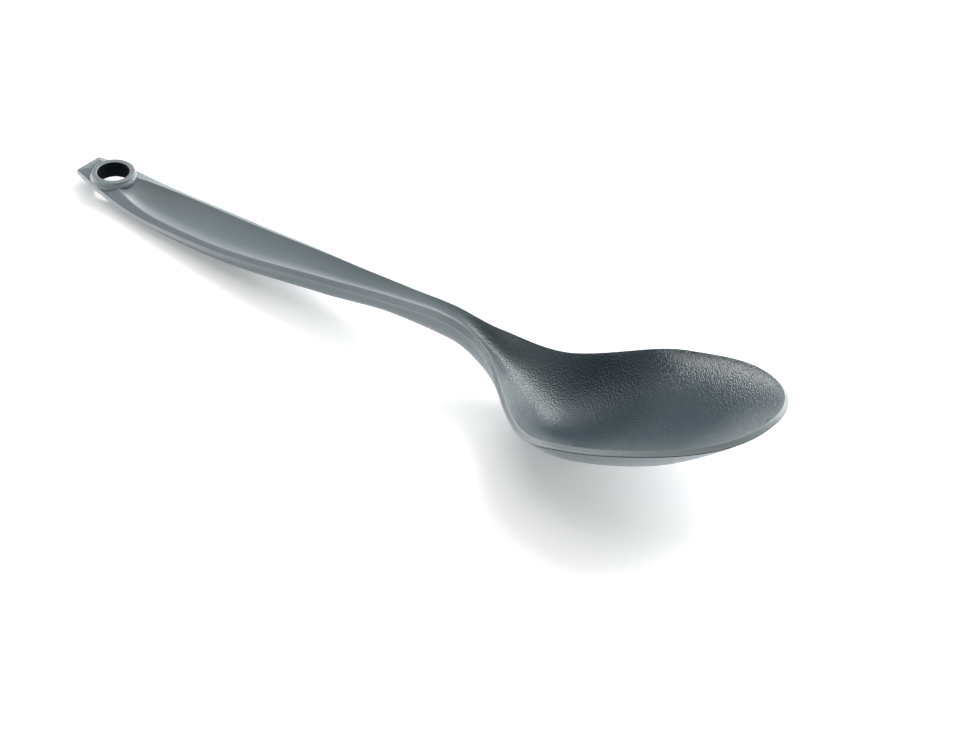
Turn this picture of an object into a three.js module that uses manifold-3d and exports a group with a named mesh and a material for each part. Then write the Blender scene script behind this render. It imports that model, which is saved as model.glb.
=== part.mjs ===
// Camping spoon: one nylon moulding with a troughed handle, and a collar set into its hanging eye.
// Millimetres, +Z up. It lies on Z = 0, with its tail towards -X and the tip of its bowl towards +X.
import * as THREE from "three";
import { mergeVertices } from "three/addons/utils/BufferGeometryUtils.js";
import Module from "manifold-3d";

// Lengths along the spoon, each measured from the end of the one before
const TAPER_LENGTH = 40; // tail end to the widest place of the handle
const SHANK_LENGTH = 67.5; // widest place of the handle to the neck
const HEEL_LENGTH = 44.5; // neck to the widest place of the bowl
const NOSE_LENGTH = 33.7; // widest place of the bowl to the tip

// Where the lines turn within those lengths, as shares of them
const DISH_SHARE = 0.5; // lowest place of the crest behind the eye
const REST_SHARE = 0.88; // where the handle rests on the table
const SHANK_SHARE = 0.5;
const SADDLE_SHARE = 0.5; // lowest place of the crest beside the bowl
const SEAT_SHARE = 0.64; // where the bowl rests on the table
const NOSE_SHARE = 0.5;

// Widths over the parting edge, which is the widest line all round the spoon
const TAIL_WIDTH = 6.7;
const GRIP_WIDTH = 13.5;
const NECK_WIDTH = 5.6;
const BOWL_WIDTH = 40.6;

// Heights of the crest, the crisp inner line round the trough and the bowl, above the table
const TAIL_HEIGHT = 3.5;
const HIP_HEIGHT = 4.5;
const DISH_HEIGHT = 3.5;
const GRIP_HEIGHT = 4.65;
const SHANK_HEIGHT = 9.85;
const CROWN_HEIGHT = 14.85;
const SADDLE_HEIGHT = 9.8;
const RIM_HEIGHT = 16.3;
const NOSE_HEIGHT = 22.3;
const TIP_HEIGHT = 27.3;
const CROWN_RADIUS = 58; // bend of the crest as it climbs to the neck
const HEEL_RADIUS = 38; // and as it falls from there to the bowl

// The sloping flank between the crest and the parting edge, and the upright land below that edge
const HIP_DROP = 0.95;
const GRIP_FLANK = 1.3;
const GRIP_DROP = 0.55;
const NECK_FLANK = 0.9;
const NECK_DROP = 1.3;
const RIM_WIDTH = 0.7;
const RIM_DROP = 0.7;
const HANDLE_LAND = 1;
const BOWL_LAND = 0.4;
const HIP_LENGTH = 3; // the end facet climbs this far in from the tail
const HIP_BEVEL = 0.25; // between the end facet and the corners of the tail

// Depths from the crest down to the underside, and from the crest down into the trough
const TAIL_DEPTH = 1.7;
const SHANK_DEPTH = 5.4;
const THROAT_DEPTH = 5.1;
const NECK_DEPTH = 6.45;
const HEEL_DEPTH = 8;
const BOWL_DEPTH = 10.4;
const NOSE_DEPTH = 9;
const BOWL_WALL = 1.8;
const TROUGH_DEPTH = 1.2;
const NECK_GROOVE = 0.9;

// The hanging eye and its collar
const EYE_AT = 8.1; // centre of the eye, from the tail end
const EYE_DIAMETER = 7.1;
const COLLAR_WALL = 0.75; // of the sleeve that lines the hole
const COLLAR_LIP = 0.46; // the head's top ring stands out past the sleeve by this
const COLLAR_FLARE = 0.4; // the head's foot stands out past its top ring by this
const COLLAR_STEP = 0.85; // height of the flared foot
const COLLAR_CHAMFER = 0.15;
const COLLAR_TOP = 5;
const SEAT_HEIGHT = 3.2; // flat seat that the head stands on
const SLEEVE_END = 1.1; // lower end of the sleeve
const FIT_CLEARANCE = 0.2;

// Roundness of the outlines: 2 is an ellipse, more is squarer
const TAIL_POWER = 3;
const TROUGH_POWER = 3.5;
const NOSE_POWER = 2.15;

// Fullness of the sections: 0.5 is an ellipse, less is squarer, and 1 is a parabola
const GRIP_FULLNESS = 0.45;
const TROUGH_FULLNESS = 1;
const HEEL_FULLNESS = 1.15;
const BOWL_FULLNESS = 0.6;

// Points closer than this are one corner
const MERGE = 1e-4;

// Facet counts
const TROUGH_STEPS = 9;
const BELLY_STEPS = 10;
const TAPER_STEPS = 20;
const SHANK_STEPS = 16;
const HEEL_STEPS = 26;
const NOSE_STEPS = 18;
const COLLAR_SIDES = 48;

// Places along the spoon, from the tail end
const GRIP_AT = TAPER_LENGTH;
const NECK_AT = GRIP_AT + SHANK_LENGTH;
const BOWL_AT = NECK_AT + HEEL_LENGTH;
const LENGTH = BOWL_AT + NOSE_LENGTH;
const DISH_AT = DISH_SHARE * TAPER_LENGTH;
const REST_AT = REST_SHARE * TAPER_LENGTH;
const SHANK_AT = GRIP_AT + SHANK_SHARE * SHANK_LENGTH;
const SADDLE_AT = NECK_AT + SADDLE_SHARE * HEEL_LENGTH;
const SEAT_AT = NECK_AT + SEAT_SHARE * HEEL_LENGTH;
const NOSE_AT = BOWL_AT + NOSE_SHARE * NOSE_LENGTH;
const THROAT_AT = NECK_AT - CROWN_RADIUS / 4;
const HEEL_AT = NECK_AT + HEEL_RADIUS / 4;
const TROUGH_AT = EYE_AT - EYE_DIAMETER / 4; // the trough starts under the collar

// Smooth curve through [place, value] pairs that never overshoots: it is level at each high and low point.
function rail(stations) {
  const rise = stations.slice(1).map(([x, v], i) => (v - stations[i][1]) / (x - stations[i][0]));
  const slopes = stations.map((_, i) => {
    const before = rise[i - 1] ?? rise[i];
    const after = rise[i] ?? rise[i - 1];
    return before * after > 0 ? (2 * before * after) / (before + after) : 0;
  });
  return (x) => {
    let i = stations.findIndex(([place]) => place >= x) - 1;
    if (i === -2) i = stations.length - 2;
    i = THREE.MathUtils.clamp(i, 0, stations.length - 2);
    const [x0, v0] = stations[i];
    const [x1, v1] = stations[i + 1];
    const span = x1 - x0;
    const t = THREE.MathUtils.clamp((x - x0) / span, 0, 1);
    const blend = t * t * (3 - 2 * t);
    const bend = span * t * (1 - t) * (slopes[i] * (1 - t) - slopes[i + 1] * t);
    return v0 + (v1 - v0) * blend + bend;
  };
}

const throatCrest = CROWN_HEIGHT - (NECK_AT - THROAT_AT) ** 2 / (2 * CROWN_RADIUS);
const heelCrest = CROWN_HEIGHT - (HEEL_AT - NECK_AT) ** 2 / (2 * HEEL_RADIUS);
const crestHeight = rail([
  [0, TAIL_HEIGHT],
  [HIP_LENGTH, HIP_HEIGHT],
  [DISH_AT, DISH_HEIGHT],
  [GRIP_AT, GRIP_HEIGHT],
  [SHANK_AT, SHANK_HEIGHT],
  [THROAT_AT, throatCrest],
  [NECK_AT, CROWN_HEIGHT],
  [HEEL_AT, heelCrest],
  [SADDLE_AT, SADDLE_HEIGHT],
  [BOWL_AT, RIM_HEIGHT],
  [NOSE_AT, NOSE_HEIGHT],
  [LENGTH, TIP_HEIGHT],
]);

const edgeDrop = rail([
  [0, 0],
  [HIP_LENGTH, HIP_DROP],
  [EYE_AT, HIP_DROP],
  [GRIP_AT, GRIP_DROP],
  [NECK_AT, NECK_DROP],
  [BOWL_AT, RIM_DROP],
  [LENGTH, RIM_DROP],
]);

const keelHeight = rail([
  [0, TAIL_HEIGHT - TAIL_DEPTH],
  [EYE_AT, SLEEVE_END],
  [REST_AT, 0],
  [SHANK_AT, SHANK_HEIGHT - SHANK_DEPTH],
  [THROAT_AT, throatCrest - THROAT_DEPTH],
  [NECK_AT, CROWN_HEIGHT - NECK_DEPTH],
  [HEEL_AT, heelCrest - HEEL_DEPTH],
  [SEAT_AT, 0],
  [BOWL_AT, RIM_HEIGHT - BOWL_DEPTH],
  [NOSE_AT, NOSE_HEIGHT - NOSE_DEPTH],
  [LENGTH, TIP_HEIGHT - RIM_DROP - BOWL_LAND],
]);

const troughHeight = rail([
  [0, TAIL_HEIGHT],
  [HIP_LENGTH, HIP_HEIGHT],
  [DISH_AT, DISH_HEIGHT - TROUGH_DEPTH],
  [GRIP_AT, GRIP_HEIGHT - TROUGH_DEPTH],
  [SHANK_AT, SHANK_HEIGHT - TROUGH_DEPTH],
  [NECK_AT, CROWN_HEIGHT - NECK_GROOVE],
  [SEAT_AT, BOWL_WALL],
  [BOWL_AT, RIM_HEIGHT - BOWL_DEPTH + BOWL_WALL],
  [NOSE_AT, NOSE_HEIGHT - NOSE_DEPTH + BOWL_WALL],
  [LENGTH, TIP_HEIGHT],
]);

const landDepth = rail([
  [NECK_AT, HANDLE_LAND],
  [SADDLE_AT, BOWL_LAND],
]);

const scoop = rail([
  [NECK_AT, TROUGH_FULLNESS],
  [SEAT_AT, HEEL_FULLNESS],
  [BOWL_AT, BOWL_FULLNESS],
]);

const belly = rail([
  [HEEL_AT, GRIP_FULLNESS],
  [SEAT_AT, HEEL_FULLNESS],
  [BOWL_AT, BOWL_FULLNESS],
]);

// Half-width from the neck back to the tail and forward to the bowl's widest place
function halfWidth(x, tail, taperFrom, power, grip, neck, bowl) {
  if (x < GRIP_AT) {
    const left = THREE.MathUtils.clamp((GRIP_AT - x) / (GRIP_AT - taperFrom), 0, 1);
    return grip - (grip - tail) * left ** power;
  }
  if (x < NECK_AT) return THREE.MathUtils.lerp(grip, neck, THREE.MathUtils.smoothstep(x, GRIP_AT, NECK_AT));
  return THREE.MathUtils.lerp(neck, bowl, THREE.MathUtils.smootherstep(x, NECK_AT, BOWL_AT));
}

const edgeHalf = (x) =>
  halfWidth(x, TAIL_WIDTH / 2, 0, TAIL_POWER, GRIP_WIDTH / 2, NECK_WIDTH / 2, BOWL_WIDTH / 2);

// The crest runs along two hips from the tail's corners to the eye, and from there along the trough.
function crestHalf(x) {
  const hip = (TAIL_WIDTH / 2 - HIP_BEVEL) * (1 - x / TROUGH_AT);
  const grip = GRIP_WIDTH / 2 - GRIP_FLANK;
  const neck = NECK_WIDTH / 2 - NECK_FLANK;
  const bowl = BOWL_WIDTH / 2 - RIM_WIDTH;
  const trough = halfWidth(x, 0, TROUGH_AT, TROUGH_POWER, grip, neck, bowl);
  return Math.max(hip, trough, HIP_BEVEL);
}

// Sections along the spoon: each has its place, and its half-widths at the parting edge and at the crest.
function sections() {
  const list = [];
  const stretch = (from, to, steps) => {
    for (let i = 0; i < steps; i++) {
      const x = THREE.MathUtils.lerp(from, to, i / steps);
      list.push({ edgeX: x, crestX: x, edge: edgeHalf(x), crest: crestHalf(x) });
    }
  };
  stretch(0, GRIP_AT, TAPER_STEPS);
  stretch(GRIP_AT, NECK_AT, SHANK_STEPS);
  stretch(NECK_AT, BOWL_AT, HEEL_STEPS);
  for (let i = 0; i <= NOSE_STEPS; i++) {
    const turn = (i / NOSE_STEPS) * (Math.PI / 2);
    const along = Math.sin(turn) ** (2 / NOSE_POWER);
    const across = i === NOSE_STEPS ? 0 : Math.cos(turn) ** (2 / NOSE_POWER);
    list.push({
      edgeX: BOWL_AT + NOSE_LENGTH * along,
      crestX: BOWL_AT + (NOSE_LENGTH - RIM_WIDTH) * along,
      edge: (BOWL_WIDTH / 2) * across,
      crest: (BOWL_WIDTH / 2 - RIM_WIDTH) * across,
    });
  }
  return list;
}

// Right half of a section, from the middle of the trough over the crest and the edge to the keel.
// Its last step is the half of a facet that lies across the keel, so the spoon rests flat and not on a ridge.
function halfSection({ edgeX, crestX, edge, crest }) {
  const points = [];
  const top = crestHeight(edgeX);
  const floor = Math.min(troughHeight(edgeX), top);
  for (let i = 0; i <= TROUGH_STEPS; i++) {
    const turn = (i / TROUGH_STEPS) * (Math.PI / 2);
    const sag = i === TROUGH_STEPS ? 0 : Math.cos(turn) ** (2 * scoop(edgeX));
    points.push([crestX, crest * Math.sin(turn), top - (top - floor) * sag]);
  }
  const edgeHeight = top - edgeDrop(edgeX);
  const landHeight = edgeHeight - landDepth(edgeX);
  const keel = Math.min(keelHeight(edgeX), landHeight);
  points.push([edgeX, edge, edgeHeight]);
  for (let i = 0; i < BELLY_STEPS; i++) {
    const turn = (i / (BELLY_STEPS - 1 / 2)) * (Math.PI / 2);
    const down = Math.sin(turn) ** (2 * belly(edgeX));
    points.push([edgeX, edge * Math.cos(turn), landHeight - (landHeight - keel) * down]);
  }
  return points;
}

// Closed skin through all the sections, mirrored about Y = 0
function loftGeometry() {
  const rings = sections().map((section) => {
    const right = halfSection(section);
    const left = right.slice(1).reverse();
    return [...right, ...left.map(([x, y, z]) => [x, -y, z])];
  });
  const around = rings[0].length;
  const at = (ring, i) => ring * around + (i % around);
  const faces = [];
  for (let r = 0; r + 1 < rings.length; r++) {
    for (let i = 0; i < around; i++) {
      faces.push(at(r, i), at(r + 1, i + 1), at(r, i + 1));
      faces.push(at(r, i), at(r + 1, i), at(r + 1, i + 1));
    }
  }
  for (let i = 0; i < (around - 1) / 2; i++) {
    const other = (j) => at(0, around - j);
    faces.push(other(i), at(0, i), at(0, i + 1));
    faces.push(other(i), at(0, i + 1), other(i + 1));
  }
  const geometry = new THREE.BufferGeometry();
  geometry.setAttribute("position", new THREE.Float32BufferAttribute(rings.flat(2), 3));
  geometry.setIndex(faces);
  return geometry;
}

const wasm = await Module();
wasm.setup();

function solidOf(geometry) {
  geometry.deleteAttribute("normal");
  geometry.deleteAttribute("uv");
  const merged = mergeVertices(geometry, MERGE);
  const triVerts = [];
  for (let i = 0; i < merged.index.count; i += 3) {
    const [a, b, c] = [0, 1, 2].map((corner) => merged.index.getX(i + corner));
    if (a !== b && b !== c && c !== a) triVerts.push(a, b, c);
  }
  const vertProperties = merged.getAttribute("position").array;
  return new wasm.Manifold(new wasm.Mesh({ numProp: 3, vertProperties, triVerts: new Uint32Array(triVerts) }));
}

function geometryOf(solid) {
  const { vertProperties, triVerts } = solid.getMesh();
  const geometry = new THREE.BufferGeometry();
  geometry.setAttribute("position", new THREE.BufferAttribute(vertProperties, 3));
  geometry.setIndex(new THREE.BufferAttribute(triVerts, 1));
  geometry.computeVertexNormals();
  return geometry;
}

// Upright round body about the eye, from closed [radius, height] corners that run anticlockwise
function turned(corners) {
  const profile = [...corners, corners[0]].map(([radius, height]) => new THREE.Vector2(radius, height));
  const geometry = new THREE.LatheGeometry(profile, COLLAR_SIDES);
  geometry.rotateX(Math.PI / 2);
  geometry.translate(EYE_AT, 0, 0);
  return geometry;
}

const eyeRadius = EYE_DIAMETER / 2;
const sleeveRadius = eyeRadius + COLLAR_WALL;
const headRadius = sleeveRadius + COLLAR_LIP;
const footRadius = headRadius + COLLAR_FLARE;

// The moulding: the loft, less the hole for the sleeve and the flat seat for the head
function mouldingGeometry() {
  const holeRadius = sleeveRadius + FIT_CLEARANCE;
  const seatRadius = footRadius + FIT_CLEARANCE;
  const above = CROWN_HEIGHT;
  const below = -CROWN_HEIGHT;
  const cutter = turned([
    [0, below],
    [holeRadius, below],
    [holeRadius, SEAT_HEIGHT],
    [seatRadius, SEAT_HEIGHT],
    [seatRadius, above],
    [0, above],
  ]);
  return geometryOf(solidOf(loftGeometry()).subtract(solidOf(cutter)));
}

// The collar: a sleeve through the handle with a stepped head whose eye is chamfered at the top
function collarGeometry() {
  const stepTop = SEAT_HEIGHT + COLLAR_STEP;
  const collar = turned([
    [eyeRadius, SLEEVE_END],
    [sleeveRadius, SLEEVE_END],
    [sleeveRadius, SEAT_HEIGHT],
    [footRadius, SEAT_HEIGHT],
    [footRadius, stepTop],
    [headRadius, stepTop + COLLAR_FLARE],
    [headRadius, COLLAR_TOP],
    [eyeRadius + COLLAR_CHAMFER, COLLAR_TOP],
    [eyeRadius, COLLAR_TOP - COLLAR_CHAMFER],
  ]);
  return geometryOf(solidOf(collar));
}

const nylon = new THREE.MeshStandardMaterial({ color: 0x6f7b80, roughness: 0.5, metalness: 0 });

function piece(name, geometry) {
  const mesh = new THREE.Mesh(geometry, nylon);
  mesh.name = name;
  return mesh;
}

const spoon = new THREE.Group();
spoon.add(piece("spoon_moulding", mouldingGeometry()));
spoon.add(piece("eye_collar", collarGeometry()));
spoon.children.forEach((mesh) => mesh.position.setX(-LENGTH / 2));

export default spoon;
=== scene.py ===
# %% [markdown]
# # A moulded camping spoon
# The spoon is one grey nylon moulding with a troughed handle and a deep bowl, and a small collar lines
# the hanging eye in its tail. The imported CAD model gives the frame: its box, its place on the floor and
# its two nodes. Each node gets a finer skin here, with small rounds and a real surface, in the same
# place.

# %% Load the frame
import math

import bmesh
import bpy
import numpy as np
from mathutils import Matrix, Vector


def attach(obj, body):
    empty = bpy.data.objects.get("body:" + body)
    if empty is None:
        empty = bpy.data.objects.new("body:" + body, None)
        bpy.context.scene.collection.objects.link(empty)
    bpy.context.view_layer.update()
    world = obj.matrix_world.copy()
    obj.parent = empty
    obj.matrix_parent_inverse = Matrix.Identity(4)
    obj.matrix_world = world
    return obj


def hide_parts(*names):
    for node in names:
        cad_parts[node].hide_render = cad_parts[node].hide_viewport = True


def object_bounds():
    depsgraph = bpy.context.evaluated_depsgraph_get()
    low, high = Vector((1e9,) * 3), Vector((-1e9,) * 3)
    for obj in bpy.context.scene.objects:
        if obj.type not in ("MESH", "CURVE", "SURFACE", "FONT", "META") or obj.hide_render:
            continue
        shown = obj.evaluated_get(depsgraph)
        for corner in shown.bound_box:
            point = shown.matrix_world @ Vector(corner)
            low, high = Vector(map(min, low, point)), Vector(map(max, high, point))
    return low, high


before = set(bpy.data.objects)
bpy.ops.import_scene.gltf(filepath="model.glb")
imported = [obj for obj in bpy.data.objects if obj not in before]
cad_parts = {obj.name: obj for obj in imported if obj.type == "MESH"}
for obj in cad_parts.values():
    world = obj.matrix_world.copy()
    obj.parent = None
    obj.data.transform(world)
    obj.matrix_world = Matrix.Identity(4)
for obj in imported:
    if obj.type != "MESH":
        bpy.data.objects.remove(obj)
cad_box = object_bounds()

print("nodes", sorted(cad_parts))
print("CAD box", [tuple(round(c, 4) for c in corner) for corner in cad_box])

# %% [markdown]
# ## Camera
# The spoon's mirror symmetry and its round eye fix where the camera stood: about 0.7 m away, 37
# degrees up, with a long lens. Blender's camera takes that as a place, a tilt and a focal length. It
# could also be aimed by a constraint, but fixed angles keep the frame exactly as it was fitted. A long
# lens flattens perspective, so the handle doesn't shrink much towards its far end.

# %% Camera
SENSOR_WIDTH = 36.0  # mm
FOCAL_LENGTH = 127.5  # mm
CAMERA_PLACE = (0.37704, -0.41053, 0.42044)  # m
CAMERA_TILT = math.radians(52.49)
CAMERA_TURN = math.radians(40.95)

camera_data = bpy.data.cameras.new("studio_camera")
camera_data.sensor_width = SENSOR_WIDTH
camera_data.lens = FOCAL_LENGTH
camera = bpy.data.objects.new("studio_camera", camera_data)
camera.location = CAMERA_PLACE
camera.rotation_euler = (CAMERA_TILT, 0, CAMERA_TURN)
bpy.context.scene.collection.objects.link(camera)
bpy.context.scene.camera = camera
print("camera", [round(c, 3) for c in camera.location])

# %% [markdown]
# ## Places along the spoon
# A boat builder would draw this spoon as a few long lines: how high the crest runs, how far the flank
# drops from it, how deep the trough and the keel lie, and how wide everything is. All of them pass
# through the same few places, measured from the tail as in the CAD model, so that both have one shape.
# All sizes of the spoon are in millimetres.

# %% Places
MM = 0.001

TAPER_LENGTH = 40  # tail to the widest place of the handle
SHANK_LENGTH = 67.5  # widest place of the handle to the neck
HEEL_LENGTH = 44.5  # neck to the widest place of the bowl
NOSE_LENGTH = 33.7  # widest place of the bowl to the tip
GRIP_AT = TAPER_LENGTH
NECK_AT = GRIP_AT + SHANK_LENGTH
BOWL_AT = NECK_AT + HEEL_LENGTH
LENGTH = BOWL_AT + NOSE_LENGTH

EYE_AT = 8.1  # middle of the hanging eye
EYE_DIAMETER = 7.1
EYE_RADIUS = EYE_DIAMETER / 2
TROUGH_AT = EYE_AT - EYE_RADIUS / 2  # the trough starts inside the eye
HIP_LENGTH = 3  # the end facet climbs this far in from the tail
DISH_AT = TAPER_LENGTH / 2  # the crest dips here between the eye and the grip
REST_SHARE = 0.88
REST_AT = REST_SHARE * TAPER_LENGTH  # where the handle rests on the floor
SHANK_AT = GRIP_AT + SHANK_LENGTH / 2

CROWN_RADIUS = 58  # bend of the crest as it climbs to the neck
HEEL_RADIUS = 38  # and as it falls from there to the bowl
ARC_SHARE = 0.25  # of each radius, as far as the crest follows the bend
THROAT_AT = NECK_AT - ARC_SHARE * CROWN_RADIUS
HEEL_AT = NECK_AT + ARC_SHARE * HEEL_RADIUS

SADDLE_AT = NECK_AT + HEEL_LENGTH / 2  # lowest place of the crest beside the bowl
SEAT_SHARE = 0.64
SEAT_AT = NECK_AT + SEAT_SHARE * HEEL_LENGTH  # where the bowl rests on the floor
RAMP_SHIFT = 1
RAMP_AT = (NECK_AT + SEAT_AT) / 2 + RAMP_SHIFT  # half way down from the neck into the bowl
NOSE_AT = BOWL_AT + NOSE_LENGTH / 2


def frame_x(at):
    """A place along the spoon in metres in the CAD frame, whose origin is under the middle of the spoon."""
    return (at - LENGTH / 2) * MM


def in_frame(x, y, z):
    """A point in metres in the CAD frame."""
    return (frame_x(x), y * MM, z * MM)


print("length", LENGTH, "mm, neck at", NECK_AT, "and bowl at", BOWL_AT)

# %% [markdown]
# ## Smooth lines
# On a drawing board, a thin batten is bent through a few nails. A plain spline does the same, but it
# swings past high and low places. This one is level at each of them, so no line leaves the range of its
# own values. Beyond its ends a line keeps its last value. The first line made with it is the upright
# land that runs under the flank's edge.


# %% Rails
def level_step(t):
    """Goes from 0 to 1 and is level at both ends."""
    return t * t * (3 - 2 * t)


def rail(*stations):
    """Smooth curve through (place, value) pairs that is level at each high and low point."""
    places, values = (np.array(column, float) for column in zip(*stations))
    rise = np.diff(values) / np.diff(places)
    before = np.concatenate([rise[:1], rise])
    after = np.concatenate([rise, rise[-1:]])
    # Where both sides rise or both fall, the slope is the harmonic mean of theirs.
    same_way = before * after > 0
    slopes = np.where(same_way, 2 * before * after / np.where(same_way, before + after, 1), 0)

    def value_at(x):
        i = np.clip(np.searchsorted(places, x) - 1, 0, len(places) - 2)
        span = places[i + 1] - places[i]
        t = np.clip((x - places[i]) / span, 0, 1)
        bend = span * t * (1 - t) * (slopes[i] * (1 - t) - slopes[i + 1] * t)
        return values[i] + (values[i + 1] - values[i]) * level_step(t) + bend

    return value_at


HANDLE_LAND = 1
BOWL_LAND = 0.4
land_depth = rail((NECK_AT, HANDLE_LAND), (SADDLE_AT, BOWL_LAND))
print("land at the neck and the bowl", [round(float(land_depth(x)), 2) for x in (NECK_AT, BOWL_AT)])

# %% [markdown]
# ## Crest, edge and keel
# The crest is the line that catches the light on the real spoon: it dips behind the eye, climbs to a
# crown at the neck, falls beside the bowl and rises to the tip. The edge lies a little lower and further
# out, with the flank between them. Near the neck the crest follows two round bends, so their drop is
# worked out from the radii. Keel and trough are given as depths below the crest, and in the bowl the
# floor lies one wall above the keel.

# %% Crest and edge
TAIL_HEIGHT = 3.5
HIP_HEIGHT = 4.5
DISH_HEIGHT = 3.5
GRIP_HEIGHT = 4.65
SHANK_HEIGHT = 9.85
CROWN_HEIGHT = 14.85
SADDLE_HEIGHT = 9.8
RIM_HEIGHT = 16.3
NOSE_HEIGHT = 22.3
TIP_HEIGHT = 27.3
THROAT_HEIGHT = CROWN_HEIGHT - (NECK_AT - THROAT_AT) ** 2 / (2 * CROWN_RADIUS)
HEEL_HEIGHT = CROWN_HEIGHT - (HEEL_AT - NECK_AT) ** 2 / (2 * HEEL_RADIUS)
HIP_DROP = 0.95
GRIP_DROP = 0.55
NECK_DROP = 1.3
RIM_DROP = 0.7

crest_height = rail(
    (0, TAIL_HEIGHT),
    (HIP_LENGTH, HIP_HEIGHT),
    (DISH_AT, DISH_HEIGHT),
    (GRIP_AT, GRIP_HEIGHT),
    (SHANK_AT, SHANK_HEIGHT),
    (THROAT_AT, THROAT_HEIGHT),
    (NECK_AT, CROWN_HEIGHT),
    (HEEL_AT, HEEL_HEIGHT),
    (SADDLE_AT, SADDLE_HEIGHT),
    (BOWL_AT, RIM_HEIGHT),
    (NOSE_AT, NOSE_HEIGHT),
    (LENGTH, TIP_HEIGHT),
)
edge_drop = rail(
    (0, 0),
    (HIP_LENGTH, HIP_DROP),
    (EYE_AT, HIP_DROP),
    (GRIP_AT, GRIP_DROP),
    (NECK_AT, NECK_DROP),
    (BOWL_AT, RIM_DROP),
    (LENGTH, RIM_DROP),
)
print("crest at the tail, neck and tip", [round(float(crest_height(x)), 2) for x in (0, NECK_AT, LENGTH)])

# %% Keel and trough
SLEEVE_END = 1.1  # lower end of the collar's sleeve, level with the keel there
TAIL_DEPTH = 1.7
SHANK_DEPTH = 5.4
THROAT_DEPTH = 5.1
NECK_DEPTH = 6.45
HEEL_DEPTH = 8
BOWL_DEPTH = 10.4
NOSE_DEPTH = 9
BOWL_WALL = 1.8
TROUGH_DEPTH = 1.2
NECK_GROOVE = 0.9

keel_height = rail(
    (0, TAIL_HEIGHT - TAIL_DEPTH),
    (EYE_AT, SLEEVE_END),
    (REST_AT, 0),
    (SHANK_AT, SHANK_HEIGHT - SHANK_DEPTH),
    (THROAT_AT, THROAT_HEIGHT - THROAT_DEPTH),
    (NECK_AT, CROWN_HEIGHT - NECK_DEPTH),
    (HEEL_AT, HEEL_HEIGHT - HEEL_DEPTH),
    (SEAT_AT, 0),
    (BOWL_AT, RIM_HEIGHT - BOWL_DEPTH),
    (NOSE_AT, NOSE_HEIGHT - NOSE_DEPTH),
    (LENGTH, TIP_HEIGHT - RIM_DROP - BOWL_LAND),
)
trough_height = rail(
    (0, TAIL_HEIGHT),
    (HIP_LENGTH, HIP_HEIGHT),
    (DISH_AT, DISH_HEIGHT - TROUGH_DEPTH),
    (GRIP_AT, GRIP_HEIGHT - TROUGH_DEPTH),
    (SHANK_AT, SHANK_HEIGHT - TROUGH_DEPTH),
    (NECK_AT, CROWN_HEIGHT - NECK_GROOVE),
    (RAMP_AT, (CROWN_HEIGHT - NECK_GROOVE + BOWL_WALL) / 2),
    (SEAT_AT, BOWL_WALL),
    (BOWL_AT, RIM_HEIGHT - BOWL_DEPTH + BOWL_WALL),
    (NOSE_AT, NOSE_HEIGHT - NOSE_DEPTH + BOWL_WALL),
    (LENGTH, TIP_HEIGHT),
)
print("floor at the grip and the neck", [round(float(trough_height(x)), 2) for x in (GRIP_AT, NECK_AT)])

# %% [markdown]
# ## Fullness and parting line
# Across the spoon, the trough and the belly follow one formula whose power says how full the section is:
# 1 is a parabola, less is fuller, more is narrower. Its two lines have a last place at the tip with the
# bowl's own value, so that they come in level at the bowl. Without it, a crease shows across the bowl.
# The parting line is where the halves of the mould meet. Round the bowl it is a fine groove, which climbs
# towards the rim on its way to the nose.

# %% Fullness and parting line
GRIP_FULLNESS = 0.45
TROUGH_FULLNESS = 1
HEEL_FULLNESS = 1.15
BOWL_FULLNESS = 0.6
HEEL_PARTING = 1.4  # from the edge down to the parting line
NOSE_PARTING = 0.3
PARTING_STEP = 0.12  # depth of the groove
PARTING_WIDTH = 0.2

trough_fullness = rail(
    (NECK_AT, TROUGH_FULLNESS),
    (SEAT_AT, HEEL_FULLNESS),
    (BOWL_AT, BOWL_FULLNESS),
    (LENGTH, BOWL_FULLNESS),
)
belly_fullness = rail(
    (NECK_AT, GRIP_FULLNESS),
    (HEEL_AT, GRIP_FULLNESS),
    (SEAT_AT, HEEL_FULLNESS),
    (BOWL_AT, BOWL_FULLNESS),
    (LENGTH, BOWL_FULLNESS),
)
parting_step = rail((NECK_AT, 0), (SADDLE_AT, PARTING_STEP))
parting_drop = rail(
    (NECK_AT, HANDLE_LAND),
    (SADDLE_AT, HEEL_PARTING),
    (BOWL_AT, NOSE_PARTING),
    (LENGTH, NOSE_PARTING),
)
print("parting line under heel and rim", [round(float(parting_drop(x)), 2) for x in (SADDLE_AT, BOWL_AT)])

# %% [markdown]
# ## Widths and heights across
# Seen from above, the handle swells from the tail to the grip, narrows to the neck and opens into the
# bowl. The nose is a superellipse, a little squarer than an ellipse. The crest has an outline of its own
# inside the edge's: two hips run in from the tail's corners to the eye, and from there it borders the
# trough.

# %% Widths
TAIL_WIDTH = 6.7
GRIP_WIDTH = 13.5
NECK_WIDTH = 5.6
BOWL_WIDTH = 40.6
GRIP_FLANK = 1.3  # width of the flank between crest and edge
NECK_FLANK = 0.9
RIM_WIDTH = 0.7
HIP_BEVEL = 0.25  # between the end facet and the corners of the tail
TAIL_POWER = 3  # the higher, the fuller the outline's shoulder
TROUGH_POWER = 3.5
NOSE_POWER = 2.15  # 2 is an ellipse


def gentle_step(t):
    """Goes from 0 to 1, level and straight at both ends."""
    return t ** 3 * (t * (6 * t - 15) + 10)


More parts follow.
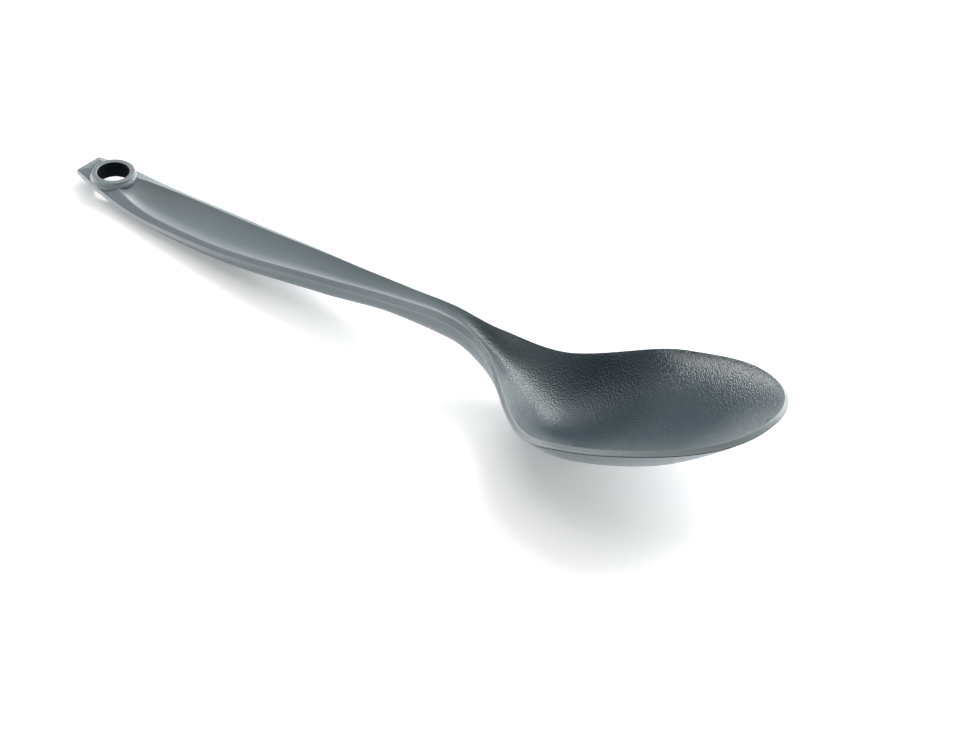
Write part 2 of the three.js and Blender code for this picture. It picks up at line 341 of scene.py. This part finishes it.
def half_width(x, tail, taper_from, power, grip, neck, bowl, nose):
    """Half-width at each x: tail to grip, grip to neck, neck to bowl, and the round nose."""
    ahead = np.clip((GRIP_AT - x) / (GRIP_AT - taper_from), 0, 1)
    taper = grip - (grip - tail) * ahead ** power
    shank = grip + (neck - grip) * level_step(np.clip((x - GRIP_AT) / SHANK_LENGTH, 0, 1))
    heel = neck + (bowl - neck) * gentle_step(np.clip((x - NECK_AT) / HEEL_LENGTH, 0, 1))
    along = np.clip((x - BOWL_AT) / nose, 0, 1)
    round_nose = bowl * (1 - along ** NOSE_POWER) ** (1 / NOSE_POWER)
    return np.select([x < GRIP_AT, x < NECK_AT, x < BOWL_AT], [taper, shank, heel], round_nose)


def edge_half(x):
    """Half-width of the spoon's outline."""
    return half_width(
        x,
        tail=TAIL_WIDTH / 2,
        taper_from=0,
        power=TAIL_POWER,
        grip=GRIP_WIDTH / 2,
        neck=NECK_WIDTH / 2,
        bowl=BOWL_WIDTH / 2,
        nose=NOSE_LENGTH,
    )


def crest_half(x):
    """Half-width of the crest: the hips from the tail's corners to the eye, then the trough."""
    hip = (TAIL_WIDTH / 2 - HIP_BEVEL) * (1 - x / TROUGH_AT)
    trough = half_width(
        x,
        tail=0,
        taper_from=TROUGH_AT,
        power=TROUGH_POWER,
        grip=GRIP_WIDTH / 2 - GRIP_FLANK,
        neck=NECK_WIDTH / 2 - NECK_FLANK,
        bowl=BOWL_WIDTH / 2 - RIM_WIDTH,
        nose=NOSE_LENGTH - RIM_WIDTH,
    )
    return np.where(x < BOWL_AT, np.maximum(np.maximum(hip, trough), HIP_BEVEL), trough)


print("half-widths at the grip, neck and bowl", edge_half(np.array([GRIP_AT, NECK_AT, BOWL_AT])).round(2))

# %% Heights across
TINY = 1e-6  # mm, keeps a width of nothing at the tip from dividing by zero
FLOOR_CLEARANCE = cad_box[0][2] / MM  # the CAD solid's lowest point


def inner_height(x, y):
    """Height of the trough and of the bowl's inside."""
    nose_stretch = NOSE_LENGTH / (NOSE_LENGTH - RIM_WIDTH)
    stretched = np.where(x > BOWL_AT, BOWL_AT + (x - BOWL_AT) * nose_stretch, x)
    top = crest_height(stretched)
    floor = np.minimum(trough_height(stretched), top)
    across = np.clip(y / np.maximum(crest_half(x), TINY), 0, 1)
    return top - (top - floor) * (1 - across ** 2) ** trough_fullness(stretched)


def outer_height(x, y):
    """Height of the underside."""
    land = crest_height(x) - edge_drop(x) - land_depth(x)
    keel = np.minimum(keel_height(x), land)
    across = np.clip(y / np.maximum(edge_half(x), TINY), 0, 1)
    belly = land - (land - keel) * (1 - across ** 2) ** belly_fullness(x)
    return np.maximum(belly, FLOOR_CLEARANCE)


bowl_middle = np.array([BOWL_AT, 0])
bowl_wall = inner_height(*bowl_middle) - outer_height(*bowl_middle)
print("wall in the middle of the bowl", round(float(bowl_wall), 2))

# %% [markdown]
# ## The moulding's skin
# A subdivided cage could round this form, but its crisp crest would need many holding loops. The skin is
# lofted instead: half profiles run from the middle of the trough over the crest, the flank and the
# upright land to the keel. Along the handle they stand square to the spoon. Round the nose they fan out,
# so that each one meets the rim squarely. Crest and edge get small rounds, as the polished corners of a
# mould leave them.

# %% Points along a path
ROUND_SHARE = 0.4  # the most that a round takes of the stretch beside it


def lengths_along(path):
    """Length of the path from its start to each of its points."""
    return np.concatenate([[0], np.cumsum(np.linalg.norm(np.diff(path, axis=0), axis=1))])


def spaced(path, start, stop, count):
    """Evenly spaced points on a dense path, with a length left off at its start and its stop."""
    reach = lengths_along(path)
    most = ROUND_SHARE * reach[-1]
    wanted = np.linspace(min(start, most), reach[-1] - min(stop, most), count)
    return np.stack([np.interp(wanted, reach, column) for column in path.T], axis=1)


def split(path, at):
    """The stretch of a dense path up to a length along it, and the rest."""
    reach = lengths_along(path)
    i = np.searchsorted(reach, at)
    point = path[i - 1] + (at - reach[i - 1]) / (reach[i] - reach[i - 1]) * (path[i] - path[i - 1])
    return np.concatenate([path[:i], [point]]), np.concatenate([[point], path[i:]])


def rounded(before, corner, after, count):
    """Points of a small arc that starts at one point, leans to the corner and ends at the other."""
    t = np.linspace(0, 1, count + 2)[1:-1, None]
    return (1 - t) ** 2 * before + 2 * t * (1 - t) * corner + t ** 2 * after


square_corner = np.array([[0, 0], [1, 0], [1, 1]])
print("middle of a rounded square corner", rounded(*square_corner, 1)[0])

# %% Half profile
CREST_ROUND = 0.18
EDGE_ROUND = 0.14
TROUGH_POINTS = 22
ROUND_POINTS = 5
FLANK_POINTS = 4
BELLY_POINTS = 24
DENSE = 240  # points on a path before it is spaced


def half_profile(middle, crest_x, crest_y, edge_x, edge_y):
    """Points from the trough's middle to the keel, and for each the zone of the surface it starts."""
    # The dense points crowd towards the crest and the edge, where the surfaces are steepest.
    share = 1 - (1 - np.linspace(0, 1, DENSE)) ** 2
    x, y = middle + (crest_x - middle) * share, crest_y * share
    trough = np.stack([x, y, inner_height(x, y)], axis=1)
    x, y = middle + (edge_x - middle) * share, edge_y * share
    belly = np.stack([x, y, outer_height(x, y)], axis=1)[::-1]
    crest = trough[-1]
    edge = np.array([edge_x, edge_y, crest_height(edge_x) - edge_drop(edge_x)])
    trough = spaced(trough, 0, CREST_ROUND, TROUGH_POINTS)
    flank = spaced(np.array([crest, edge]), CREST_ROUND, EDGE_ROUND, FLANK_POINTS)
    land, belly = split(np.concatenate([[edge], belly]), parting_drop(edge_x))
    land = spaced(land, EDGE_ROUND, 0, FLANK_POINTS)
    belly = spaced(belly, PARTING_WIDTH, 0, BELLY_POINTS)
    inward = np.array([middle - edge_x, -edge_y, 0])
    inward = inward / np.linalg.norm(inward)
    groove = (land[-1] + belly[0]) / 2 + parting_step(edge_x) * inward
    parts = [
        ("inside", trough),
        ("edge", rounded(trough[-1], crest, flank[0], ROUND_POINTS)),
        ("flank", flank),
        ("edge", rounded(flank[-1], edge, land[0], ROUND_POINTS)),
        ("land", land),
        ("parting", [groove]),
        ("outside", belly),
    ]
    zones = [zone for zone, points in parts for _ in points]
    return np.concatenate([points for _, points in parts]), zones


def square_profile(x):
    """The half profile that stands square to the spoon at a place along it."""
    return half_profile(x, x, float(crest_half(x)), x, float(edge_half(x)))


# All half profiles have the same zones.
profile_zones = square_profile(GRIP_AT)[1]
print("points in a half profile", len(profile_zones))

# %% Rows of profiles from the tail to the tip
TAPER_ROWS = 100
SHANK_ROWS = 90
HEEL_ROWS = 110
NOSE_ROWS = 90
TAIL_ROUND = 0.2

square_places = np.concatenate(
    [
        np.linspace(TAIL_ROUND, GRIP_AT, TAPER_ROWS, endpoint=False),
        np.linspace(GRIP_AT, NECK_AT, SHANK_ROWS, endpoint=False),
        np.linspace(NECK_AT, BOWL_AT, HEEL_ROWS, endpoint=False),
    ]
)
rows = [square_profile(x)[0] for x in square_places]
for turn in np.linspace(0, math.pi / 2, NOSE_ROWS):
    along = math.sin(turn) ** (2 / NOSE_POWER)
    # At the tip the cosine is off by a rounding error, but the halves have to meet.
    across = math.cos(turn) ** (2 / NOSE_POWER) if turn < math.pi / 2 else 0
    fanned, _ = half_profile(
        BOWL_AT,
        BOWL_AT + (NOSE_LENGTH - RIM_WIDTH) * along,
        (BOWL_WIDTH / 2 - RIM_WIDTH) * across,
        BOWL_AT + NOSE_LENGTH * along,
        BOWL_WIDTH / 2 * across,
    )
    rows.append(fanned)
print("rows", len(rows))

# %% Round off the tail's end
TAIL_ROWS = 5

first = rows[0]
middle_height = (first[0, 2] + first[-1, 2]) / 2
half_height = (first[0, 2] - first[-1, 2]) / 2
for turn in np.linspace(0, math.pi / 2, TAIL_ROWS, endpoint=False)[::-1]:
    inset = TAIL_ROUND * (1 - math.sin(turn))
    points = first.copy()
    points[:, 0] = TAIL_ROUND * (1 - math.cos(turn))
    points[:, 1] *= 1 - inset / (TAIL_WIDTH / 2)
    points[:, 2] = middle_height + (points[:, 2] - middle_height) * (1 - inset / half_height)
    rows.insert(0, points)
print("rows with the tail's round", len(rows))

# %% Skin the rows and mirror them
WELD = 1e-7  # m, points closer than this are one
ZONES = ("inside", "outside", "edge", "flank", "land", "parting", "rim")


def skin(rows, zones):
    """Closed mesh over the rows and their mirror image, each face with the number of its zone's finish."""
    mesh = bmesh.new()
    halves = []
    for side in (1, -1):
        half = [[mesh.verts.new(in_frame(x, side * y, z)) for x, y, z in row] for row in rows]
        halves.append(half)
        for lower, upper in zip(half, half[1:]):
            for i in range(len(zones) - 1):
                corners = [lower[i], upper[i], upper[i + 1], lower[i + 1]]
                face = mesh.faces.new(corners if side == 1 else corners[::-1])
                face.material_index = ZONES.index(zones[i])
    right, left = (half[0] for half in halves)
    tail_end = mesh.faces.new([*right, *left[::-1]])
    tail_end.material_index = ZONES.index("outside")
    bmesh.ops.remove_doubles(mesh, verts=mesh.verts, dist=WELD)
    bmesh.ops.recalc_face_normals(mesh, faces=mesh.faces)
    return mesh


def new_object(name, mesh):
    """A smooth-shaded object from a bmesh."""
    data = bpy.data.meshes.new(name)
    mesh.to_mesh(data)
    mesh.free()
    data.shade_smooth()
    piece = bpy.data.objects.new(name, data)
    bpy.context.scene.collection.objects.link(piece)
    return piece


moulding = new_object("moulded_spoon", skin(rows, profile_zones))
print("moulding faces", len(moulding.data.polygons))

# %% [markdown]
# ## The hanging eye
# The collar's sleeve goes through the tail, and its head stands on a small flat seat. Both are round
# bodies, as a lathe would turn them, so one function turns a profile of radius and height about the eye's
# axis. A Screw modifier could do that too, but here the corners can sit half a step round, which keeps
# them off the spoon's mirror seam. The hole and the seat are cut from the skin by one such body with a
# boolean, a hair wider than the collar.

# %% Turned bodies
COLLAR_SIDES = 144
HALF_STEP = 0.5


def turned(corners):
    """Closed ring mesh from (radius, height) corners turned about the eye's axis."""
    mesh = bmesh.new()
    rings = []
    for i in range(COLLAR_SIDES):
        angle = 2 * math.pi * (i + HALF_STEP) / COLLAR_SIDES
        cos, sin = math.cos(angle), math.sin(angle)
        rings.append([mesh.verts.new(in_frame(EYE_AT + r * cos, r * sin, z)) for r, z in corners])
    for i, ring in enumerate(rings):
        following = rings[(i + 1) % COLLAR_SIDES]
        for j in range(len(corners)):
            k = (j + 1) % len(corners)
            mesh.faces.new([ring[j], following[j], following[k], ring[k]])
    bmesh.ops.remove_doubles(mesh, verts=mesh.verts, dist=WELD)
    bmesh.ops.recalc_face_normals(mesh, faces=mesh.faces)
    return mesh


print("a turned body has a side every", 360 / COLLAR_SIDES, "degrees")

# %% The collar
COLLAR_WALL = 0.75  # of the sleeve that lines the hole
COLLAR_LIP = 0.46  # the head's top ring stands out past the sleeve by this
COLLAR_FLARE = 0.4  # and its foot past the top ring by this
COLLAR_STEP = 0.85  # height of the foot
COLLAR_CHAMFER = 0.15
COLLAR_TOP = 5
SEAT_HEIGHT = 3.2
COLLAR_ROUND = 0.22
COLLAR_ROUND_POINTS = 3

sleeve_radius = EYE_RADIUS + COLLAR_WALL
head_radius = sleeve_radius + COLLAR_LIP
foot_radius = head_radius + COLLAR_FLARE
collar_corners = [
    (EYE_RADIUS, SLEEVE_END),
    (sleeve_radius, SLEEVE_END),
    (sleeve_radius, SEAT_HEIGHT),
    (foot_radius, SEAT_HEIGHT),
    (foot_radius, SEAT_HEIGHT + COLLAR_STEP),
    (head_radius, SEAT_HEIGHT + COLLAR_STEP + COLLAR_FLARE),
    (head_radius, COLLAR_TOP),
    (EYE_RADIUS + COLLAR_CHAMFER, COLLAR_TOP),
    (EYE_RADIUS, COLLAR_TOP - COLLAR_CHAMFER),
]


def small_rounds(corners, size):
    """The same closed profile with each corner rounded by a small arc."""
    corners = np.array(corners, float)
    result = []
    for before, corner, after in zip(np.roll(corners, 1, axis=0), corners, np.roll(corners, -1, axis=0)):
        back, on = before - corner, after - corner
        back_length, on_length = np.linalg.norm(back), np.linalg.norm(on)
        reach = min(size, ROUND_SHARE * back_length, ROUND_SHARE * on_length)
        start = corner + reach * back / back_length
        stop = corner + reach * on / on_length
        result += [start, *rounded(start, corner, stop, COLLAR_ROUND_POINTS), stop]
    return result


collar = new_object("eye_ring", turned(small_rounds(collar_corners, COLLAR_ROUND)))
print("collar faces", len(collar.data.polygons))

# %% Cut the hole and the seat
FIT = 0.03  # gap between the collar and the moulding
ABOVE = 10  # the cutter's ends, well clear of the tail
BELOW = -10
SHARP_ANGLE = math.radians(50)

cutter = new_object(
    "eye_cutter",
    turned(
        [
            (0, BELOW),
            (sleeve_radius + FIT, BELOW),
            (sleeve_radius + FIT, SEAT_HEIGHT - FIT),
            (foot_radius + FIT, SEAT_HEIGHT - FIT),
            (foot_radius + FIT, ABOVE),
            (0, ABOVE),
        ]
    ),
)
cut = moulding.modifiers.new("eye", "BOOLEAN")
cut.object = cutter
cut.operation = "DIFFERENCE"
cut.solver = "EXACT"
with_eye = bpy.data.meshes.new_from_object(moulding.evaluated_get(bpy.context.evaluated_depsgraph_get()))
moulding.modifiers.clear()
bpy.data.objects.remove(cutter)

# The cut leaves a few points on top of each other, and faces with no area between them.
cleaned = bmesh.new()
cleaned.from_mesh(with_eye)
bmesh.ops.remove_doubles(cleaned, verts=cleaned.verts, dist=WELD)
bmesh.ops.dissolve_degenerate(cleaned, edges=cleaned.edges, dist=WELD)
cleaned.to_mesh(with_eye)
cleaned.free()
moulding.data = with_eye
moulding.data.set_sharp_from_angle(angle=SHARP_ANGLE)
print("moulding faces with the eye", len(moulding.data.polygons))

# %% [markdown]
# ## Nylon
# Camping cutlery is moulded from nylon 66, often with glass fibre, coloured grey in the melt. Nylon
# reflects light a little more than window glass does, with an index of 1.53. Spark erosion leaves the
# mould covered in small craters, and the moulding takes them over. They break each reflection into
# grains. Real craters are about a tenth of a millimetre wide. A pixel of the picture covers about 0.2 mm,
# so they are drawn 0.35 to 0.5 mm wide, coarser than real. Smoothed Voronoi cells draw them best: the
# height is the distance from each cell's middle, which is a round pit. Noise could draw a grain too, but
# without round pits. Faint streaks of the flowing melt, some 25 mm wide, vary the tone.


# %% Colour and node helpers
def linear(code):
    """A linear RGBA colour from an sRGB hex code, by the sRGB standard's curve."""
    values = [int(code[i : i + 2], 16) / 255 for i in (1, 3, 5)]
    return (*(v / 12.92 if v <= 0.04045 else ((v + 0.055) / 1.055) ** 2.4 for v in values), 1)


def add(tree, kind, settings=None, links=None):
    """Adds a node, sets its properties and inputs by name, and links the given outputs to its inputs."""
    node = tree.nodes.new(kind)
    for name, value in (settings or {}).items():
        if isinstance(name, str) and hasattr(node, name):
            setattr(node, name, value)
        else:
            node.inputs[name].default_value = value
    for name, output in (links or {}).items():
        tree.links.new(output, node.inputs[name])
    return node


print("middle grey in linear light", [round(c, 3) for c in linear("#808080")])

# %% Nylon
NYLON_IOR = 1.53
SHINE = 0.5  # Blender's plain level of reflection for that index
HAZE = 0.25  # sheen, for the pale veil that fine pits give at a glancing angle
HAZE_ROUGHNESS = 0.4
FLOW_WIDTH = 25  # mm
FLOW_DETAIL = 3
CRATER_SOFTNESS = 0.4  # how far neighbouring craters run into each other
CRATER_FLOOR = 0.1  # distances from a crater's middle, in crater widths, between which the gloss varies
CRATER_LIP = 0.7
SPARKLE = 0.05  # how far the roughness varies either way
POLISHED_BUMP = 0.03  # share of the crater depth that polishing leaves
POLISHED_ROUGHNESS = 0.46
# The Mix node has several sockets of one name, so they go by number.
MIX_FACTOR, NUMBER_A, NUMBER_B, COLOUR_A, COLOUR_B = 0, 2, 3, 6, 7
NUMBER_RESULT, COLOUR_RESULT = 0, 2


def smooth_between(start, stop):
    """Settings for a smooth change between two places along the spoon."""
    return {"interpolation_type": "SMOOTHSTEP", "From Min": frame_x(start), "From Max": frame_x(stop)}


def nylon(name, tones, roughness, grain, depth, onward=None, polished=None, haze=HAZE, shine=SHINE):
    """Nylon with craters of a width and a depth in mm.

    onward: other tones, and the two places between which they take over.
    polished: the two places between which a polished stretch turns into an eroded one.
    """
    material = bpy.data.materials.new(name)
    material.use_nodes = True
    tree = material.node_tree
    shader = tree.nodes["Principled BSDF"]
    constants = {
        "IOR": NYLON_IOR,
        "Specular IOR Level": shine,
        "Sheen Weight": haze,
        "Sheen Roughness": HAZE_ROUGHNESS,
    }
    for socket, value in constants.items():
        shader.inputs[socket].default_value = value

    place = add(tree, "ShaderNodeTexCoord").outputs["Object"]
    x = add(tree, "ShaderNodeSeparateXYZ", links={"Vector": place}).outputs["X"]
    settings = {"Scale": 1 / (FLOW_WIDTH * MM), "Detail": FLOW_DETAIL}
    flow = add(tree, "ShaderNodeTexNoise", settings, {"Vector": place}).outputs["Fac"]
    settings = {"feature": "SMOOTH_F1", "Scale": 1 / (grain * MM), "Smoothness": CRATER_SOFTNESS}
    craters = add(tree, "ShaderNodeTexVoronoi", settings, {"Vector": place}).outputs["Distance"]

    streaks = []
    for dark, light in [tones, onward[0]] if onward else [tones]:
        settings = {"data_type": "RGBA", COLOUR_A: linear(dark), COLOUR_B: linear(light)}
        streaks.append(add(tree, "ShaderNodeMix", settings, {MIX_FACTOR: flow}).outputs[COLOUR_RESULT])
    tone = streaks[0]
    if onward:
        settings = smooth_between(*onward[1:])
        taken_over = add(tree, "ShaderNodeMapRange", settings, {"Value": x}).outputs["Result"]
        links = {MIX_FACTOR: taken_over, COLOUR_A: streaks[0], COLOUR_B: streaks[1]}
        tone = add(tree, "ShaderNodeMix", {"data_type": "RGBA"}, links).outputs[COLOUR_RESULT]

    settings = {
        "From Min": CRATER_FLOOR,
        "From Max": CRATER_LIP,
        "To Min": roughness - SPARKLE,
        "To Max": roughness + SPARKLE,
    }
    gloss = add(tree, "ShaderNodeMapRange", settings, {"Value": craters}).outputs["Result"]
    bump = add(tree, "ShaderNodeBump", {"Distance": depth * MM}, {"Height": craters})
    if polished:
        settings = {**smooth_between(*polished), "To Min": POLISHED_BUMP}
        eroded = add(tree, "ShaderNodeMapRange", settings, {"Value": x}).outputs["Result"]
        tree.links.new(eroded, bump.inputs["Strength"])
        links = {MIX_FACTOR: eroded, NUMBER_B: gloss}
        gloss = add(tree, "ShaderNodeMix", {NUMBER_A: POLISHED_ROUGHNESS}, links).outputs[NUMBER_RESULT]
    for output, socket in ((tone, "Base Color"), (gloss, "Roughness"), (bump.outputs["Normal"], "Normal")):
        tree.links.new(output, shader.inputs[socket])
    return material


print("share of light that nylon reflects head-on", round(((NYLON_IOR - 1) / (NYLON_IOR + 1)) ** 2, 3))

# %% [markdown]
# ## Finishes of the moulding
# One melt has one colour, but under its own light the photograph shows each zone of the spoon in another
# tone: a dark, bluish bowl, a pale land and a nearly black groove. The tones are matched to that, each as
# a darker and a lighter streak, so the dark bowl and groove are painted shade and the pale land painted
# light. What differs on the real surface is how the mould was worked: polished in
# the trough, eroded in the bowl, on the belly and on the flank, and burnished at the corners. One
# material could mix all of that, but a finish for each zone of the skin is easier to match on its own.
# Roughness, haze and shine start from those of satin nylon and are matched to the photograph.

# %% Trough, bowl and belly
TROUGH_TONES = ("#4e5c61", "#556367")
# The bowl's dark tones are painted shade.
BOWL_SHADE_TONES = ("#19343f", "#203a44")
OUTSIDE_TONES = ("#667276", "#6e787d")
# The pale tones are painted light.
PAINTED_LIGHT_TONES = ("#9da4a9", "#a3acb1")

finishes = {}
# The polished trough shines as one soft gradient. From the neck on the mould was eroded, so in the bowl
# the light breaks into grains. In the trough no pits spread the light, so there the roughness alone does,
# with more of it.
# Past the heel its tone darkens into the bowl's, which is painted shade.
finishes["inside"] = nylon(
    "nylon_polished_to_eroded_bowl_painted_shade",
    TROUGH_TONES,
    roughness=0.34,
    grain=0.35,
    depth=0.09,
    onward=(BOWL_SHADE_TONES, (HEEL_AT + SADDLE_AT) / 2, SEAT_AT),
    polished=(THROAT_AT, NECK_AT),
    haze=0.2,
    shine=0.85,
)
# The eroded belly is an even satin with no clear highlight, and towards the tip its paler tone is painted
# light.
finishes["outside"] = nylon(
    "nylon_eroded_belly_painted_light_tip",
    OUTSIDE_TONES,
    roughness=0.42,
    grain=0.45,
    depth=0.1,
    onward=(PAINTED_LIGHT_TONES, BOWL_AT, LENGTH),
)
print("finishes", [finish.name for finish in finishes.values()])

# %% Edges, flank, land, parting line and rim
# The edge tones are a painted highlight.
EDGE_HIGHLIGHT_TONES = ("#7b8589", "#828b8f")
SHADE_TONES = ("#3c474c", "#434e53")
# The rim tones are painted light.
RIM_PAINTED_LIGHT_TONES = ("#7c8686", "#838c8c")
# The gap tones are painted shade.
GAP_SHADE_TONES = ("#14181b", "#1a1f22")

# The corners of a mould are burnished, so crest and edge are nearly smooth; their thin bright line is a
# painted highlight in a lighter tone.
finishes["edge"] = nylon("nylon_edge_painted_highlight", EDGE_HIGHLIGHT_TONES, roughness=0.35, grain=0.4, depth=0.01)
# The eroded flank has little haze, so it stays a dull band under the crest, and towards the bowl its darker
# tone is painted shade.
finishes["flank"] = nylon(
    "nylon_flank_painted_shade",
    OUTSIDE_TONES,
    roughness=0.4,
    grain=0.35,
    depth=0.08,
    onward=(SHADE_TONES, HEEL_AT, SADDLE_AT),
    haze=0.08,
)
# The land is nearly smooth, and its pale line below the flank near the tail is painted light.
finishes["land"] = nylon(
    "nylon_land_painted_light",
    PAINTED_LIGHT_TONES,
    roughness=0.4,
    grain=0.4,
    depth=0.03,
    onward=(OUTSIDE_TONES, EYE_AT, SHANK_AT),
)
# The parting line is matt, and round the bowl its groove holds a dark line of painted shade.
finishes["parting"] = nylon(
    "nylon_parting_groove_painted_shade",
    OUTSIDE_TONES,
    roughness=0.6,
    grain=0.4,
    depth=0.02,
    onward=(GAP_SHADE_TONES, NECK_AT, SADDLE_AT),
)
# The bevelled rim is nearly smooth; its tone is painted shade at the heel and painted light towards the
# nose.
finishes["rim"] = nylon(
    "nylon_rim_painted_shade_and_light",
    SHADE_TONES,
    roughness=0.4,
    grain=0.4,
    depth=0.03,
    onward=(RIM_PAINTED_LIGHT_TONES, SADDLE_AT, NOSE_AT),
)
print("finishes", [finish.name for finish in finishes.values()])

# %% Dress the moulding
for zone in ZONES:
    moulding.data.materials.append(finishes[zone])
# Beside the bowl, the flank becomes the rim.
rim_faces = [
    face
    for face in moulding.data.polygons
    if face.material_index == ZONES.index("flank") and face.center.x > frame_x(SADDLE_AT)
]
for face in rim_faces:
    face.material_index = ZONES.index("rim")
print("faces of the rim", len(rim_faces))

# %% [markdown]
# ## Finishes of the collar
# The collar's wall is as smooth as a turned part, and its lighter tone is a painted highlight. Its top was
# faced, which leaves a duller ring. The bore was never polished, and hardly any light gets into it: its
# near-black tone is painted shade. The zones could be painted by hand, but here each face's distance
# from the eye's axis and the way it faces tell which zone it is in.

# %% Dress the collar
# The collar tones are lighter, as a painted highlight.
COLLAR_HIGHLIGHT_TONES = ("#7a8488", "#828c90")
LEVEL = 0.99  # a face is level if its normal rises by more than this
BORE_SHARE = 0.25  # of the chamfer, as far as the dark bore reaches into it

collar_finishes = {
    # The smooth wall carries a soft highlight all the way round, partly painted into its lighter tone.
    "wall": nylon("nylon_collar_wall_painted_highlight", COLLAR_HIGHLIGHT_TONES, roughness=0.4, grain=0.4, depth=0.03),
    # The rough bore has neither highlight nor haze, and its near-black tone is painted shade, so it reads
    # as a dark hole.
    "bore": nylon(
        "nylon_bore_painted_shade", GAP_SHADE_TONES, roughness=0.8, grain=0.4, depth=0.02, haze=0, shine=0.1
    ),
    # The faced top is a dull, grainy ring between the bore and the bright wall.
    "top": nylon("nylon_faced_collar_top", OUTSIDE_TONES, roughness=0.5, grain=0.5, depth=0.1),
}
collar_zones = list(collar_finishes)
for zone in collar_zones:
    collar.data.materials.append(collar_finishes[zone])
for face in collar.data.polygons:
    radius = math.hypot(face.center.x - frame_x(EYE_AT), face.center.y) / MM
    height = face.center.z / MM
    if radius < EYE_RADIUS + BORE_SHARE * COLLAR_CHAMFER:
        face.material_index = collar_zones.index("bore")
    elif face.normal.z > LEVEL and height > COLLAR_TOP - COLLAR_CHAMFER:
        face.material_index = collar_zones.index("top")
print("finishes", [finish.name for finish in collar_finishes.values()])

# %% [markdown]
# ## Each piece rides on the spoon's one body
# The spoon has no moving part. Both pieces ride on the root body and stand for their CAD nodes, which
# stay in the model for collision. Parenting them by hand would also hold them together, but the frame
# would not know it.

# %% Ride
for piece, node, slot in ((moulding, "spoon_moulding", "nylon"), (collar, "eye_collar", "collar")):
    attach(piece, "root")
    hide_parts(node)
    print(piece.name, "stands for", node)

# %% [markdown]
# ## Floor
# The spoon lies on a wide sheet of matt white paper. In the photograph the paper is plain white, and only
# the shadow shows on it. More light would whiten it, but would bleach the spoon too. So the paper glows a
# little instead, and only for rays from the camera or from a reflection: the spoon mirrors the white
# floor, and its shadow stays.

# %% Floor
FLOOR_SIZE = 6.0  # m
PAPER_ROUGHNESS = 0.9
WHITENING = 0.22

floor_mesh = bmesh.new()
bmesh.ops.create_grid(floor_mesh, x_segments=2, y_segments=2, size=FLOOR_SIZE)
floor = new_object("paper_sweep", floor_mesh)
# Uncoated paper is all fibres, so it looks equally white from every side.
paper = bpy.data.materials.new("paper_matt_white")
paper.use_nodes = True
tree = paper.node_tree
sheet = tree.nodes["Principled BSDF"]
sheet.inputs["Base Color"].default_value = linear("#fbfbfb")
sheet.inputs["Roughness"].default_value = PAPER_ROUGHNESS
# The inputs of the Math and Add Shader nodes share a name too.
rays = add(tree, "ShaderNodeLightPath").outputs
links = {0: rays["Is Camera Ray"], 1: rays["Is Glossy Ray"]}
seen = add(tree, "ShaderNodeMath", {"operation": "MAXIMUM"}, links).outputs["Value"]
glow = add(tree, "ShaderNodeMath", {"operation": "MULTIPLY", 1: WHITENING}, {0: seen}).outputs["Value"]
white = add(tree, "ShaderNodeEmission", links={"Strength": glow}).outputs["Emission"]
lit = add(tree, "ShaderNodeAddShader", links={0: sheet.outputs["BSDF"], 1: white}).outputs["Shader"]
tree.links.new(lit, tree.nodes["Material Output"].inputs["Surface"])
floor.data.materials.append(paper)
print("floor reaches", FLOOR_SIZE, "m each way")

# %% [markdown]
# ## Light
# In the photograph the shadow falls softly towards the camera, so the strongest light comes from behind
# the spoon. An environment picture could light it, but lamps can be matched one by one. A large silk
# overhead and a weak, even world fill the shade. Places are given as an azimuth, from +X towards +Y, and
# an elevation, both in degrees.

# %% Lights
STUDIO_FILL = 0.14
LIGHT_DISTANCE = 3  # m

world = bpy.data.worlds.new("studio")
bpy.context.scene.world = world
world.use_nodes = True
background = world.node_tree.nodes["Background"]
background.inputs["Color"].default_value = (1, 1, 1, 1)
background.inputs["Strength"].default_value = STUDIO_FILL


def softbox(name, azimuth, elevation, size, power):
    """An area light of a width and height in metres and a power in watts that looks at the spoon."""
    data = bpy.data.lights.new(name, "AREA")
    data.shape = "RECTANGLE"
    data.size, data.size_y = size
    data.energy = power
    light = bpy.data.objects.new(name, data)
    turn, lift = math.radians(azimuth), math.radians(elevation)
    level = math.cos(lift)
    place = Vector((math.cos(turn) * level, math.sin(turn) * level, math.sin(lift))) * LIGHT_DISTANCE
    light.location = place
    light.rotation_euler = (-place).to_track_quat("-Z", "Y").to_euler()
    bpy.context.scene.collection.objects.link(light)
    print(name, power, "W")


# Behind and above: makes the shadow in front of the spoon and the sheen on the bowl's heel.
softbox("key_softbox", azimuth=73, elevation=43, size=(1.9, 1.7), power=62)
# Low behind: shines in the surfaces that lean away from the camera.
softbox("backdrop_card", azimuth=92, elevation=13, size=(4.0, 0.9), power=100)
# Low on the left: the glint on the far wall of the bowl.
softbox("left_strip", azimuth=-157, elevation=5.5, size=(3.4, 0.55), power=72)
# Low in front: lifts the near side a little.
softbox("front_card", azimuth=-60, elevation=5, size=(2.5, 0.5), power=16)
# Overhead: shines softly in what faces up, such as the trough.
softbox("top_silk", azimuth=125, elevation=68, size=(4, 4), power=66)

# %% [markdown]
# ## Finish
# The Standard view shows each colour as it is written.

# %% Finish
bpy.context.scene.view_settings.view_transform = "Standard"
